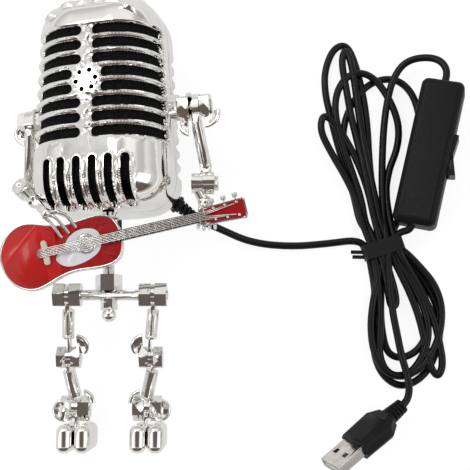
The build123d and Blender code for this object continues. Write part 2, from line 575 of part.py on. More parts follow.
# ---------------------------------------------------------------- legs
def leg(name):
    """Thigh, knee bolt and nut, shin, ankle bolt and nut, and foot of one side."""
    out = sides[name]
    lean = {"thigh": knee_x[name] - hip_x[name], "shin": ankle_x[name] - knee_x[name]}
    hip = Pos(hip_x[name], hip_point.Y, hip_point.Z) * Rot(-90 + leg_slope, 0, 0)
    knee = hip * Pos(lean["thigh"], 0, -thigh_length)
    ankle_joint = (knee * Pos(lean["shin"], 0, -shin_length)).position
    ankle = Pos(ankle_joint) * laid

    lap = out * (knee_eye[1] + face_gap) / 2
    thigh = eye_plate(*hip_eye, 7.5, 5.0)
    thigh += rod((0, 0, -6.2), (lean["thigh"], 0, -17.6), thigh_radius)
    thigh += Pos(lean["thigh"] - lap, 0, -thigh_length) * x_disc(knee_eye[0], knee_eye[1])
    thigh += Pos(lean["thigh"] - lap, 0, -thigh_length + 4.9) * Box(knee_eye[1], 4.6, 9.8)
    thigh -= Pos(lean["thigh"] * 0.85, 0, -16.0) * Torus(thigh_radius + 0.1, 0.35)
    thigh -= x_disc(hip_bar_radius + play, 20)
    thigh -= Pos(lean["thigh"], 0, -thigh_length) * x_disc(pin_radius + play, 8)

    stack = knee_eye[1] + face_gap / 2 + face_gap
    head_at = stack + small_nut[1] / 2
    pin_end = stack + small_nut[1] + 0.4
    knee_bolt = x_disc(pin_radius, pin_end + head_at, -out * (pin_end - head_at) / 2)
    knee_bolt += Pos(out * head_at, 0, 0) * Rot(0, 90, 0) * hex_prism(*small_nut)
    wing = lobe(-out * (head_at + 0.4), 4.8, 4.1, 0, -out * leg_lobe_start, -out * lobe_stop)
    knee_nut = thumb_nut(small_nut, -out * head_at, pin_radius + thread_gap, wing)

    lower = out * (ankle_eye[1] + face_gap) / 2
    foot_of_shin = Pos(lean["shin"], 0, -shin_length)
    shin = eye_plate(knee_eye[0], knee_eye[1], 7.0, 4.6, lap)
    shin += rod((lap / 2, 0, -5.6), (lean["shin"], 0, -16.2), shin_radius)
    shin += foot_of_shin * x_disc(ankle_eye[0], ankle_eye[1], lower)
    shin += foot_of_shin * Pos(lower, 0, 3.5) * Box(ankle_eye[1], 4.8, 7.0)
    shin -= [x_disc(pin_radius + play, 8), foot_of_shin * x_disc(pin_radius + play, 8)]

    stack = ankle_eye[1] + face_gap / 2 + face_gap
    head_at = stack + large_nut[1] / 2
    pin_end = stack + large_nut[1] + 0.4
    outer_wing = lobe(out * (head_at + 1.4), -0.8, 3.8, 0, out * leg_lobe_start, out * lobe_stop)
    inner_wing = lobe(-out * (head_at - 1.3), 2.1, 4.8, 0, -out * leg_lobe_start, -out * lobe_stop)
    ankle_bolt = x_disc(pin_radius, pin_end + head_at, -out * (pin_end - head_at) / 2)
    ankle_bolt += Pos(out * head_at, 0, 0) * Rot(0, 90, 0) * hex_prism(*large_nut)
    ankle_bolt += outer_wing
    ankle_nut = thumb_nut(large_nut, -out * head_at, pin_radius + thread_gap, inner_wing)

    heel_back = ankle_joint.Z
    toe = fillet(Box(toe_width, foot_length, toe_height).edges(), toe_round)
    toe_middle = (heel_back - foot_length / 2, -sole_drop + toe_height / 2)
    foot = Pos((toe_width + toe_gap) / 2, *toe_middle) * toe + Pos(-(toe_width + toe_gap) / 2, *toe_middle) * toe
    foot = Pos(foot_shift[name], 0, 0) * (foot + Pos(0, heel_back - 6.5, -sole_drop + 5.6) * Box(6, 9, 8.6))
    foot += eye_plate(ankle_eye[0], ankle_eye[1], 8.0, 4.8, -lower)
    foot -= x_disc(pin_radius + play, 8)
    return {f"{name}_thigh": hip * thigh, f"{name}_knee_bolt": knee * knee_bolt, f"{name}_knee_nut": knee * knee_nut,
            f"{name}_shin": knee * shin, f"{name}_ankle_bolt": ankle * ankle_bolt,
            f"{name}_ankle_nut": ankle * ankle_nut, f"{name}_foot": ankle * foot}


# ---------------------------------------------------------------- arms
def square_to(way, axis):
    """The part of a direction that is square to an axis, at length one."""
    way, axis = Vector(*way), Vector(*axis)
    return (way - axis * way.dot(axis)).normalized()


def arm_link(name, elbow, axis, eye, flat, offset):
    """An upper arm: shoulder eye, round bar and elbow eye, joined by flats."""
    shoulder = in_head((sides[name] * arm_x[name], 0, shoulder_height))
    down = square_to(Vector(*elbow) - shoulder, shoulder_axis)
    middle = Vector(*elbow) + Vector(*axis) * offset
    up = square_to(shoulder - middle, axis)
    start, end = shoulder + down * arm_flat[2], middle + up * flat[1]
    link = disc(shoulder, shoulder_axis, arm_eye_radius, arm_eye[name])
    link += flat_bar(shoulder, start + down, shoulder_axis, *arm_flat[:2])
    link += rod(start, end, upper_arm_radius)
    link += flat_bar(middle, end + up, axis, eye[1], flat[0]) + disc(middle, axis, *eye)
    return link - disc(shoulder, shoulder_axis, shoulder_bolt_radius + play, 20)


elbow_way = unit(Vector(*right_wrist) - Vector(*right_elbow))
right_elbow_axis = square_to((0, 0, 1), elbow_way)
elbow_offset = (elbow_eye[1] + face_gap) / 2


def right_arm():
    """Upper arm, elbow bolt, forearm and the strumming hand."""
    axis, elbow = right_elbow_axis, Vector(*right_elbow)
    upper = arm_link("right", elbow, axis, elbow_eye, elbow_flat, -elbow_offset)
    upper -= disc(elbow, axis, elbow_bolt[0] + thread_gap, 20)
    stack = elbow_eye[1] + face_gap / 2 + face_gap
    bolt_top = elbow + axis * (stack + elbow_bolt[2])
    bolt = rod(elbow + axis * stack * 1.2, elbow - axis * (stack + 0.4), elbow_bolt[0])
    bolt += rod(elbow + axis * stack, bolt_top, elbow_bolt[1])
    socket = Plane(origin=bolt_top, z_dir=axis) * RegularPolygon(elbow_socket[0], 6)
    bolt -= extrude(socket, -elbow_socket[1])

    start = elbow + axis * elbow_offset
    wrist = Vector(*right_wrist) + axis * elbow_offset
    way = unit(wrist - start)
    sleeve, collar, thin = forearm_radii
    forearm = disc(start, axis, *elbow_eye) + flat_bar(start, start + way * 6, axis, elbow_eye[1], elbow_flat[0])
    forearm += rod(start + way * 4.6, start + way * 13, sleeve) + rod(start + way * 12, start + way * 13.2, collar)
    forearm += rod(start + way * 12, wrist, thin)
    forearm -= disc(elbow, axis, elbow_bolt[0] + play, 20)
    hand = ball(wrist, thin + 0.15)
    for knuckle, joint, tip in zip(right_knuckles, right_joints, right_tips):
        hand += rod(wrist, knuckle, 1.3, 0.95) + ball(knuckle, 0.95)
        hand += rod(knuckle, joint, 0.75, finger_radius) + ball(joint, finger_radius)
        hand += rod(joint, tip, finger_radius) + ball(tip, finger_radius)
    relief = head_place * case_blank(-chin_relief)
    return {"right_upper_arm": upper - relief, "right_elbow_bolt": bolt, "right_forearm": forearm + hand - relief}


def left_arm():
    """Upper arm, elbow bolt, and the hand that holds the guitar's neck."""
    elbow, axis = Vector(*left_elbow), Vector(1, 0, 0)
    arm_at = face_gap / 2 + left_arm_eye[1] / 2
    hand_at = -face_gap / 2 - left_hand_eye[1] / 2
    upper = arm_link("left", elbow, axis, left_arm_eye, (4.0, 6.2), arm_at - 1.1)
    upper -= disc(elbow, axis, left_hand_eye[0] + 1.2, 40) - Pos(elbow.X + 20.05, elbow.Y, elbow.Z) * Box(40, 40, 40)
    upper &= Pos(elbow.X, elbow.Y, elbow.Z) * Box(2 * (left_arm_eye[1] + face_gap / 2), 200, 200)
    upper += disc(elbow + axis * arm_at, axis, *left_arm_eye)
    upper -= disc(elbow, axis, left_elbow_bolt[0] + play, 60)
    right_face = left_arm_eye[1] + face_gap * 1.5
    left_face = -left_hand_eye[1] - face_gap / 2
    bolt = rod(elbow + axis * (right_face + 0.5), elbow + axis * (left_face - 0.3), left_elbow_bolt[0])
    bolt += rod(elbow + axis * right_face, elbow + axis * (right_face + left_elbow_bolt[2]), left_elbow_bolt[1])
    palm = Vector(*palm_point)
    hand = disc(elbow + axis * hand_at, axis, *left_hand_eye)
    hand += rod(elbow + Vector(hand_at, -2.4, 0), palm, 1.9, 2.3) + ball(palm, palm_radius)
    for x, tip_y in zip(left_finger_x, left_tip_y):
        root = Vector(palm.X + 0.7 * (x - palm.X), palm.Y - 2.0, left_finger_z - 0.6)
        bend, tip = Vector(x, tip_y - 0.2, left_finger_z), Vector(x, tip_y, left_tip_z)
        hand += rod(root, bend, 0.95, finger_radius) + ball(bend, finger_radius)
        hand += rod(bend, tip, finger_radius) + ball(tip, finger_radius)
    hand -= disc(elbow + axis * 20.0, axis, left_arm_eye[0] + 0.4, 40)
    hand -= disc(elbow, axis, left_elbow_bolt[0] + thread_gap, 60)
    return {"left_upper_arm": upper, "left_elbow_bolt": bolt, "left_hand": hand}


# ---------------------------------------------------------------- guitar
def guitar():
    """The guitar's pieces on its own plane, body face at guitar_thick."""
    upper = [(guitar_butt, 0)] + guitar_half + [guitar_end]
    lower = [(x, -y) for x, y in reversed(upper[1:])]
    ring = upper + lower
    body = outline(ring, guitar_thick)
    body = fillet(body.edges().group_by(Axis.Z)[0], 0.9)
    body = fillet(body.edges().group_by(Axis.Z)[-1], 0.25)
    body -= Pos(0, 0, guitar_thick - enamel_depth) * outline(ring, 4, enamel_rim)
    body -= Pos(guitar_end[0] + 5, 0, 0) * Box(10, 4 * neck_width, 40)
    face_bottom = guitar_thick - enamel_depth + seat_gap
    face = Pos(0, 0, face_bottom) * outline(ring, enamel_depth - seat_gap, enamel_rim + 0.04)
    face_top = guitar_thick + seat_gap
    guard = Pos(0, 0, face_top) * outline(pickguard_upper + pickguard_lower, pickguard_thick)
    guard_top = face_top + pickguard_thick + seat_gap
    ring_top = guard_top + rosette[1]
    flower = rod((0, 0, face_bottom - 1), (0, 0, ring_top), rosette[0])
    flower -= [Pos(0, 0, ring_top) * Torus(r, 0.16) for r in (1.6, 3.1)]
    for i in range(12):
        turn = 2 * pi * i / 12
        flower += Pos(2.35 * cos(turn), 2.35 * sin(turn), ring_top - 0.15) * Sphere(0.42)
    body += flower
    face -= Cylinder(rosette[0] + 0.04, 40)
    guard -= Cylinder(rosette[0] + 0.04, 40)
    saddle = Pos(bridge_x, 0, face_top + bridge_size[2] / 2) * fillet(Box(*bridge_size).edges().filter_by(Axis.Z), 0.9)

    pocket = guitar_end[0] + seat_gap
    neck_length = nut_x - neck_start
    fingerboard = Pos(neck_start + neck_length / 2, 0, (guard_top + board_top) / 2)
    fingerboard *= Box(neck_length, neck_width, board_top - guard_top)
    back = Pos((pocket + nut_x) / 2, 0, (neck_back + guard_top) / 2)
    back_blank = Box(nut_x - pocket, neck_width, guard_top - neck_back + 0.1)
    back *= fillet(back_blank.edges().group_by(Axis.Z)[0].filter_by(Axis.X), 1.2)
    length, near, far = headstock
    plate = Polygon((nut_x - 0.5, -near / 2), (nut_x + length, -far / 2),
                    (nut_x + length, far / 2), (nut_x - 0.5, near / 2), align=None)
    head_block = Pos(0, 0, neck_back) * extrude(plate, board_top - 1.0 - neck_back)
    head_block = fillet(head_block.edges().filter_by(Axis.Z), 0.8)
    block_top = board_top - 1.0
    top_nut = Pos(nut_x + 0.5, 0, block_top + 0.5) * Box(1.0, neck_width, 0.95)
    cover = Polygon((nut_x + 1.4, -near / 2 + 0.6), (nut_x + length - 0.7, -far / 2 + 0.6),
                    (nut_x + length - 0.7, far / 2 - 0.6), (nut_x + 1.4, near / 2 - 0.6), align=None)
    cover = Pos(0, 0, block_top + seat_gap) * extrude(cover, 0.4)
    tuners, bores, strings = [], [], []
    for i in range(3):
        x = nut_x + peg_first + i * peg_spacing
        edge = near / 2 + (far - near) / 2 * (x - nut_x) / length
        height = (neck_back + block_top) / 2
        for side in (-1, 1):
            foot, top = (x, side * (edge - 1.3), height - 0.6), (x, side * (edge - 1.3), block_top + 1.3)
            tuner = rod(foot, top, 0.55)
            bores.append(rod(foot, (x, foot[1], block_top + 2), 0.6))
            if side > 0:
                tuner += rod((x, edge - 1.3, height), (x, edge + 1.4, height), 0.35)
                tuner += Pos(x, edge + 1.9, height) * Rot(90, 0, 0) * Cylinder(1.05, 1.5)
                bores.append(rod((x, edge - 1.3, height), (x, edge + 1.4, height), 0.4))
            tuners.append(tuner)
    neck = (fingerboard + [back, head_block, top_nut]) - bores
    cover -= bores
    for i in range(string_count):
        y = (i - (string_count - 1) / 2) * string_spacing
        side = 1 if y > 0 else -1
        rank = int(abs(y) / string_spacing)
        x = nut_x + peg_first + (2 - rank) * peg_spacing
        edge = near / 2 + (far - near) / 2 * (x - nut_x) / length
        points = [(bridge_x - 3.4, y, face_top + 0.4), (bridge_x - 1.6, y, string_height), (nut_x + 0.9, y, string_height)]
        points.append((x - 0.9, side * (edge - 1.3 - 0.45), block_top + 1.1))
        path = FilletPolyline(*points, radius=string_bend)
        strings.append(sweep(Plane(origin=path @ 0, z_dir=path % 0) * Circle(string_radius), path))
    return {"guitar_body": body, "guitar_face": face, "guitar_pickguard": guard,
            "guitar_bridge": saddle, "guitar_neck": neck, "guitar_head_face": cover, "guitar_tuners": tuners,
            "guitar_strings": strings}


# ---------------------------------------------------------------- cord, switch and plug
def cord_run(name, points):
    """A round cord along a line of points with a bend at each; its length and radii are printed."""
    points, radii = [Vector(*point) for point in points], []
    for before, point, after in zip(points, points[1:], points[2:]):
        half_turn = radians((point - before).get_angle(after - point)) / 2
        radii.append(0.45 * min((point - before).length, (after - point).length) / tan(half_turn))
    path = FilletPolyline(*points, radius=radii) if radii else Line(*points)
    tube = sweep(Plane(origin=path @ 0, z_dir=path % 0) * Circle(cord_radius), path)
    ratio = tube.volume / (pi * cord_radius**2 * path.length)
    print(name, "length", round(path.length, 1), "radii", [round(radius, 1) for radius in radii], "volume", round(ratio, 3))
    return tube


def in_plane(points, height):
    """A straight-sided slab standing on the table."""
    return extrude(Polygon(*points, align=None), height, dir=(0, 0, 1))


def hank(tubes):
    """The tied hank in two halves, and its tie."""
    tie_place = Pos(*tie_point, tie_size[2] / 2) * Rot(0, 0, tie_turn)
    width, length, height = tie_size
    hollow = Box(width - 2 * tie_wall, 2 * length, height - 2 * tie_wall)
    neck = (width - 2 * tie_wall - 0.1, length / 2 + 0.6, height - 2 * tie_wall - 0.1)
    ends = [rod((-width / 2 + 0.4, y, -0.8), (-width / 2 - 4.6, y + 1.8, -1.9), 0.8) for y in (-1.6, 0.6)]
    tie = Box(*tie_size) - hollow
    tie = fillet(tie.edges().filter_by(Axis.Y).group_by(Axis.X)[0], 0.9) + ends
    tie = fillet(tie.edges().filter_by(Axis.Y).group_by(Axis.X)[-1], 0.9)
    halves = []
    for side, corners in ((1, upper_hank), (-1, lower_hank)):
        edge = [(tie_place * Pos(side * x, side * (length / 2 + 0.1), 0)).position for x in (neck[0] / 2, -neck[0] / 2)]
        slab = in_plane([(point.X, point.Y) for point in edge] + corners, hank_thick)
        slab += tie_place * Pos(0, side * (neck[1] / 2 + seat_gap), 0) * Box(*neck)
        slab -= tubes + [switch_place() * Box(*[size + 0.3 for size in (switch_size[0], switch_long, switch_size[1])])]
        halves.append(max(slab.solids(), key=lambda solid: solid.volume))
    return {"cord_hank_upper": halves[0], "cord_hank_lower": halves[1], "cord_tie": tie_place * tie}


switch_long = (Vector(*switch_top) - Vector(*switch_bottom)).length


def switch_place():
    """The switch's middle, +Y along it and +X out of its rocker side."""
    top, bottom = Vector(*switch_top), Vector(*switch_bottom)
    middle = (top + bottom) / 2
    turn = -Vector(0, 1).get_angle(top - bottom)
    return Pos(middle.X, middle.Y, switch_height) * Rot(0, 0, turn) * Rot(0, -switch_roll, 0)


def switch():
    """Two half shells and the rocker of the inline switch."""
    place, length = switch_place(), switch_long
    width, thick = switch_size
    blank = fillet(Box(width, length, thick).edges(), switch_round)
    inside = Box(width - 2 * switch_wall, length - 2 * switch_wall, thick - 2 * switch_wall)
    inside = fillet(inside.edges(), switch_round - switch_wall)
    pivot_x = width / 2 - rocker_pivot
    rocker_room = Box(8, rocker_size[0] + 1.0, rocker_size[1] + 0.5)
    shell = blank - inside - Pos(width / 2, 0, 0) * rocker_room
    bushes = [Pos(pivot_x, 0, side * (thick / 2 - switch_wall - 0.7)) * Cylinder(1.9, 1.6) for side in (-1, 1)]
    shell = shell + bushes - Pos(pivot_x, 0, 0) * Cylinder(rocker_pin[0] + play, 2 * rocker_pin[1] + 0.3)
    loop_end = place.inverse() * Pos(*switch_top, switch_height)
    shell -= Pos(0, length / 2, loop_end.position.Z) * Rot(90, 0, 0) * Cylinder(cord_radius + seat_gap, 8)
    split = switch_split
    base = shell & Pos(0, 0, split - 50 - 0.03) * Box(100, 100, 100)
    cover = shell & Pos(0, 0, split + 50 + 0.03) * Box(100, 100, 100)
    half, high, face = rocker_size[0] / 2, rocker_size[2], rocker_pivot
    profile = Polygon((face + 0.9, 0), (face + high, half), (face - 1.2, half), (-1.8, 4.2), (-1.8, -4.2),
                      (face - 1.2, -half), (face + high, -half), align=None)
    rocker = extrude(profile, rocker_size[1] / 2, both=True)
    rocker = fillet(rocker.edges().filter_by(Axis.Z).group_by(Axis.X)[-1], 0.5)
    rocker += Cylinder(rocker_pin[0], 2 * rocker_pin[1])
    rocker = place * Pos(pivot_x, 0, 0) * Rot(0, 0, rocker_swing) * rocker
    axis_end = place * Pos(pivot_x, 0, 1)
    pivot = place * Pos(pivot_x, 0, 0)
    joint_points["switch_rocker"] = (pivot.position, axis_end.position - pivot.position)
    return {"switch_base": place * base, "switch_cover": place * cover, "switch_rocker": rocker}


def rounded_section(width, thick, cut, at):
    """A rectangle with cut corners, drawn at a distance along the plug."""
    w, t = width / 2, thick / 2
    corners = [(w, t - cut), (w - cut, t), (cut - w, t), (-w, t - cut),
               (-w, cut - t), (cut - w, -t), (w - cut, -t), (w, cut - t)]
    return Pos(0, 0, at) * Polygon(*corners, align=None)


def plug():
    """The USB plug along its own +Z, from strain relief to shell."""
    way = unit(plug_way)
    level = Vector(0, 0, 1).cross(way)
    place = Plane(origin=plug_point, x_dir=level, z_dir=way).location * Rot(0, 0, plug_roll)
    near, far, relief = plug_relief
    width, thick, length = plug_body
    relief_end = relief + 0.3
    grip = rod((0, 0, 0), (0, 0, relief_end), near, far)
    grip -= [Pos(0, 0, 1.6 + 1.7 * i) * (Cylinder(6, 0.7) - Cylinder(near - 0.5 + 0.12 * i, 0.7)) for i in range(4)]
    sections = [rounded_section(width * 0.62, thick * 0.8, 1.8, relief), rounded_section(width, thick, 2.4, relief + 4.6),
                rounded_section(width - 0.8, thick - 0.4, 2.4, relief + length)]
    grip += [loft(sections[:2], ruled=True), loft(sections[1:], ruled=True)]
    grip -= [rod((0, 0, -1), (0, 0, cord_in_plug), cord_radius + seat_gap)]
    front = relief + length
    shell_long = shell_size[2] + shell_hidden
    shell_at = front - shell_hidden + shell_long / 2
    grip -= Pos(0, 0, shell_at) * Box(*[size + 2 * seat_gap for size in (*shell_size[:2], shell_long)])
    shell = fillet(Box(shell_size[0], shell_size[1], shell_long).edges().filter_by(Axis.Z), 0.6)
    shell -= Pos(0, 0, 1) * Box(shell_size[0] - 2 * shell_wall, shell_size[1] - 2 * shell_wall, shell_long)
    shell -= [Pos(x, 0, shell_long / 2 - 6.2) * Box(2.3, 10, 2.3) for x in (-2.9, 2.9)]
    bar_long = tongue[2] + shell_hidden - 1.6
    bar = Pos(0, -shell_size[1] / 2 + shell_wall + seat_gap + tongue[1] / 2, front - shell_hidden + 1.6 + bar_long / 2)
    bar *= Box(tongue[0], tongue[1], bar_long)
    return {"usb_grip": place * grip, "usb_shell": place * Pos(0, 0, shell_at) * shell, "usb_tongue": place * bar}


def cords():
    """All runs of the cord outside the hank, then the hank cut clear of them."""
    entry = (exit_place * Pos(0, 0, -cord_inside)).position
    leaving = (exit_place * Pos(0, 0, grommet_flange[1] + grommet_taper[2] + 1.5)).position
    entry, leaving = in_head(entry), in_head(leaving)
    top, bottom = Vector(*switch_top), Vector(*switch_bottom)
    along = (top - bottom).normalized()
    switch_end = Vector(top.X, top.Y, switch_height)
    plug_way_unit = unit(plug_way)
    turn_in = Vector(*plug_point) - plug_way_unit * 3.6
    plug_end = Vector(*plug_point) + plug_way_unit * (cord_in_plug - 0.5)
    runs = {"cord_lead": [entry, leaving] + lead_points,
            "cord_loop": [switch_end - along * 1.5] + loop_points,
            "cord_under_switch": under_points,
            "cord_stub": stub_points,
            "cord_tail": tail_points + [turn_in, plug_end]}
    tubes = {name: cord_run(name, points) for name, points in runs.items()}
    return {"cord_runs": list(tubes.values()), **hank(list(tubes.values()))}


joint_points = {}

if __name__ == "__main__":
    os.makedirs("parts", exist_ok=True)
    guitar_place = Pos(*guitar_point) * Rot(0, 0, guitar_angle)
    pieces = {}
    for group in (head_cases(), linings(), head_inside(), shoulders(), {"cord_grommet": grommet()}):
        for name, shape in group.items():
            pieces[name] = [head_place * item for item in shape] if isinstance(shape, list) else head_place * shape
    pieces.update(spine())
    for side_name in sides:
        pieces.update(leg(side_name))
    pieces.update(right_arm())
    pieces.update(left_arm())
    for name, shape in guitar().items():
        pieces[name] = [guitar_place * item for item in shape] if isinstance(shape, list) else guitar_place * shape
    pieces.update(cords())
    pieces.update(switch())
    pieces.update(plug())
    for name, shape in pieces.items():
        items = shape if isinstance(shape, list) else [shape]
        solids = [to_frame * solid for item in items for solid in item.solids()]
        export_step(solids[0] if len(solids) == 1 else Compound(children=solids), f"parts/{name}.step")
        print(name, len(solids), round(sum(solid.volume for solid in solids), 1))
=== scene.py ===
import bpy
import json
import math
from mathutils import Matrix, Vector


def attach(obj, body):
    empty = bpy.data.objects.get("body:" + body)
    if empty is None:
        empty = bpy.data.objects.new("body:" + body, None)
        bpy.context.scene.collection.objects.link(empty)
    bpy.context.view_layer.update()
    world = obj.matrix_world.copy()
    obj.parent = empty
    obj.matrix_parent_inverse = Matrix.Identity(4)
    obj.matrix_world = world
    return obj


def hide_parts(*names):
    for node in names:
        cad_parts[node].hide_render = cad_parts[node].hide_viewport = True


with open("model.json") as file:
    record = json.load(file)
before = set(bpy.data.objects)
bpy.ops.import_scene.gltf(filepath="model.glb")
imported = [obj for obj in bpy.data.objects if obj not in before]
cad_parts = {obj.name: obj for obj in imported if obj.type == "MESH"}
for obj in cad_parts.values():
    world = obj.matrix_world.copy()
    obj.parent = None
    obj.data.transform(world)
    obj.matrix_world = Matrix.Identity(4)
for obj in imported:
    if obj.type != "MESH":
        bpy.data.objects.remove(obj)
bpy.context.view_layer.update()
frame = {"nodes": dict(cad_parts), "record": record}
nodes = frame["nodes"]
bodies = frame["record"]["behaviour"]["bodies"]
bodyOf = {node: body for body, members in bodies.items() for node in members}
mm = 0.001


def clearSelection():
    if bpy.context.mode != "OBJECT":
        bpy.ops.object.mode_set(mode="OBJECT")
    bpy.ops.object.select_all(action="DESELECT")


def makeActive(piece):
    clearSelection()
    piece.select_set(True)
    bpy.context.view_layer.objects.active = piece


def aimAt(thing, spot):
    return (Vector(spot) - thing.location).to_track_quat("-Z", "Y").to_euler()


# camera, straight over the cord and a little below the robot's feet
cameraSetup = {"place": (0.04335, -0.05448, 0.3723), "lookAt": (0.04335, -0.00213, 0.0), "lens": 67.2,
               "sensor": 36, "nearest": 0.01}
bpy.ops.object.camera_add(location=cameraSetup["place"])
camera = bpy.context.object
camera.name = "bench_camera"
camera.rotation_euler = aimAt(camera, cameraSetup["lookAt"])
camera.data.lens = cameraSetup["lens"]
camera.data.sensor_width = cameraSetup["sensor"]
camera.data.clip_start = cameraSetup["nearest"]
bpy.context.scene.camera = camera
bpy.context.scene.view_settings.view_transform = "Standard"
print("camera is set")

# one cord from the head through hank and switch to the plug, millimetres
cordFacts = {"radius": 1.55, "exit": (27.3, 2.9, 14.3), "smoothness": 8, "roundness": 5}
cordRoute = {
    "lead": [(19.3, 8.4, 17.3), (23.7, 5.4, 15.6), (28.5, 2.1, 13.9), (36.2, -0.4, 8.8), (50.0, -5.9, 3.0),
        (66.8, -7.4, 1.55), (83.0, -6.1, 1.55), (95.0, -4.4, 1.6), (99.6, -7.8, 1.8)],
    "lowerOne": [(100.7, -13.2, 1.6), (102.6, -25.4, 1.55), (102.4, -36.0, 1.55), (101.3, -46.8, 1.55),
        (102.0, -54.8, 1.55), (105.1, -61.7, 1.55), (111.3, -66.1, 1.55), (118.0, -64.7, 1.55),
        (124.0, -59.5, 1.55), (127.6, -52.1, 1.55), (129.8, -43.0, 1.55), (128.7, -32.5, 1.55),
        (124.0, -22.5, 1.55), (117.5, -14.5, 1.6), (111.0, -7.0, 1.8)],
    "upperOne": [(100.8, -1.5, 1.7), (96.6, 2.8, 1.6), (94.5, 14.7, 1.55), (90.7, 26.4, 1.55),
        (87.5, 38.3, 1.55), (84.7, 50.4, 1.55), (82.6, 60.4, 1.55), (82.6, 70.5, 1.55), (86.6, 80.6, 1.55),
        (92.6, 82.4, 1.55), (96.5, 72.4, 1.55), (99.5, 58.0, 1.55), (100.9, 44.4, 1.55),
        (101.2, 30.4, 1.55), (102.6, 14.7, 1.6), (104.6, 4.5, 2.4)],
    "lowerTwo": [(112.6, -8.0, 3.6), (116.0, -10.6, 4.4), (121.6, -16.6, 4.4), (127.2, -23.6, 4.6),
        (130.1, -33.0, 4.6), (129.0, -43.6, 4.6), (125.4, -52.4, 4.6), (120.0, -58.9, 4.6),
        (112.6, -62.4, 4.6), (106.2, -60.4, 4.6), (103.2, -53.8, 4.6), (103.6, -43.8, 4.6),
        (104.4, -31.8, 4.6), (103.2, -18.8, 4.5), (101.6, -8.6, 4.4)],
    "upperTwo": [(97.2, 2.4, 4.4), (95.2, 11.9, 4.6), (91.0, 21.6, 4.6), (84.6, 32.8, 4.6),
        (79.9, 42.6, 4.6), (81.2, 50.0, 4.6), (86.0, 46.6, 4.6), (90.4, 39.8, 4.6), (95.0, 30.8, 4.6),
        (98.9, 20.6, 4.6), (101.9, 8.4, 4.5)],
    "lowerThree": [(109.0, -8.8, 1.7), (113.9, -13.4, 1.55), (118.7, -19.9, 1.55), (122.8, -26.4, 1.55),
        (125.2, -34.4, 1.55), (124.6, -42.2, 1.55), (121.6, -49.4, 1.55), (116.6, -53.4, 1.55),
        (111.2, -54.4, 1.55), (107.2, -52.0, 1.55), (105.5, -46.2, 1.55), (104.6, -36.8, 1.55),
        (105.2, -25.4, 1.55), (104.6, -12.8, 1.6)],
    "upperThree": [(98.6, 3.0, 3.0), (97.2, 12.4, 4.6), (93.4, 24.4, 4.6), (89.0, 38.0, 4.6),
        (86.4, 50.0, 4.6), (87.2, 59.4, 4.6), (91.4, 66.6, 4.6), (98.2, 68.8, 4.6), (104.2, 65.6, 4.6),
        (109.0, 58.6, 4.6), (112.6, 50.6, 4.6), (114.2, 42.6, 4.0), (113.0, 34.0, 3.2), (109.2, 25.4, 3.4),
        (107.2, 13.4, 4.4)],
    "lowerFour": [(111.4, -9.4, 6.4), (116.8, -17.6, 5.0), (122.2, -28.0, 4.6), (126.4, -38.0, 4.6),
        (128.6, -48.4, 4.6), (129.7, -57.4, 4.6), (127.2, -62.6, 4.6), (124.0, -57.4, 4.6),
        (122.4, -48.0, 4.6), (120.4, -38.0, 4.6), (117.0, -28.0, 4.6), (112.4, -18.0, 4.6),
        (108.0, -8.4, 4.4)],
    "upperFour": [(104.0, 6.0, 6.4), (101.4, 20.0, 6.2), (98.7, 34.0, 5.0), (97.0, 48.0, 4.6),
        (95.4, 62.0, 4.6), (94.0, 73.0, 4.6), (91.6, 79.6, 4.2), (89.6, 74.0, 4.2), (91.6, 61.0, 4.6),
        (93.2, 50.0, 4.6), (95.8, 38.0, 4.6), (98.4, 25.4, 6.0), (101.0, 9.4, 6.4)],
    "lowerFive": [(105.6, -10.0, 5.4), (108.2, -18.4, 5.0), (110.4, -26.4, 4.6), (111.0, -32.4, 4.6),
        (108.6, -33.4, 4.6), (107.6, -27.0, 4.6), (106.2, -17.0, 5.0), (103.4, -7.4, 5.0)],
    "upperFive": [(96.4, 8.4, 1.6), (93.0, 20.0, 1.55), (90.2, 33.0, 1.55), (90.2, 44.6, 1.55),
        (93.4, 54.0, 1.55), (98.0, 60.6, 1.55), (103.4, 65.0, 1.55), (110.2, 66.9, 1.55),
        (116.6, 65.0, 1.55), (121.6, 58.6, 1.55), (124.1, 47.0, 1.55), (122.6, 31.0, 1.55),
        (117.7, 14.4, 1.55), (111.9, 1.4, 1.7)],
    "lowerSix": [(105.6, -10.6, 3.0), (103.6, -21.0, 4.6), (101.0, -31.4, 4.6), (99.8, -42.4, 4.6),
        (101.2, -53.4, 4.6), (107.0, -61.6, 4.6), (115.4, -61.4, 4.2), (121.4, -54.0, 4.6),
        (124.4, -44.0, 4.6), (122.6, -33.4, 4.6), (117.6, -23.0, 4.6), (112.4, -13.4, 4.6)],
    "throughSwitch": [(109.4, -5.4, 4.6), (112.6, -1.8, 6.6), (117.2, -1.4, 11.4), (120.5, 12.0, 12.0),
        (125.0, 30.5, 12.0), (129.4, 48.4, 12.0), (132.5, 61.0, 12.0)],
    "upperSix": [(134.0, 67.4, 12.0), (130.4, 72.6, 11.0), (122.8, 74.0, 8.6), (116.2, 72.0, 6.8),
        (111.9, 65.6, 5.0), (109.4, 57.0, 4.7), (107.4, 44.6, 4.6), (106.4, 30.0, 4.6), (105.9, 15.4, 4.8),
        (106.6, 0.6, 5.6)],
    "tail": [(107.6, -10.0, 6.2), (108.0, -24.0, 6.4), (108.8, -35.8, 7.4), (110.2, -44.0, 7.9),
        (111.8, -53.4, 8.0), (115.0, -64.6, 7.6), (114.3, -71.2, 7.1), (110.4, -74.5, 8.4),
        (106.6, -77.3, 9.85)],
}
cordPoints = [point for run in cordRoute.values() for point in run]
route = bpy.data.curves.new("cord", "CURVE")
route.dimensions = "3D"
route.bevel_depth = 1.0  # times the thickness set at each point
route.bevel_resolution = cordFacts["roundness"]
route.resolution_u = cordFacts["smoothness"]
route.use_fill_caps = True
spline = route.splines.new("NURBS")
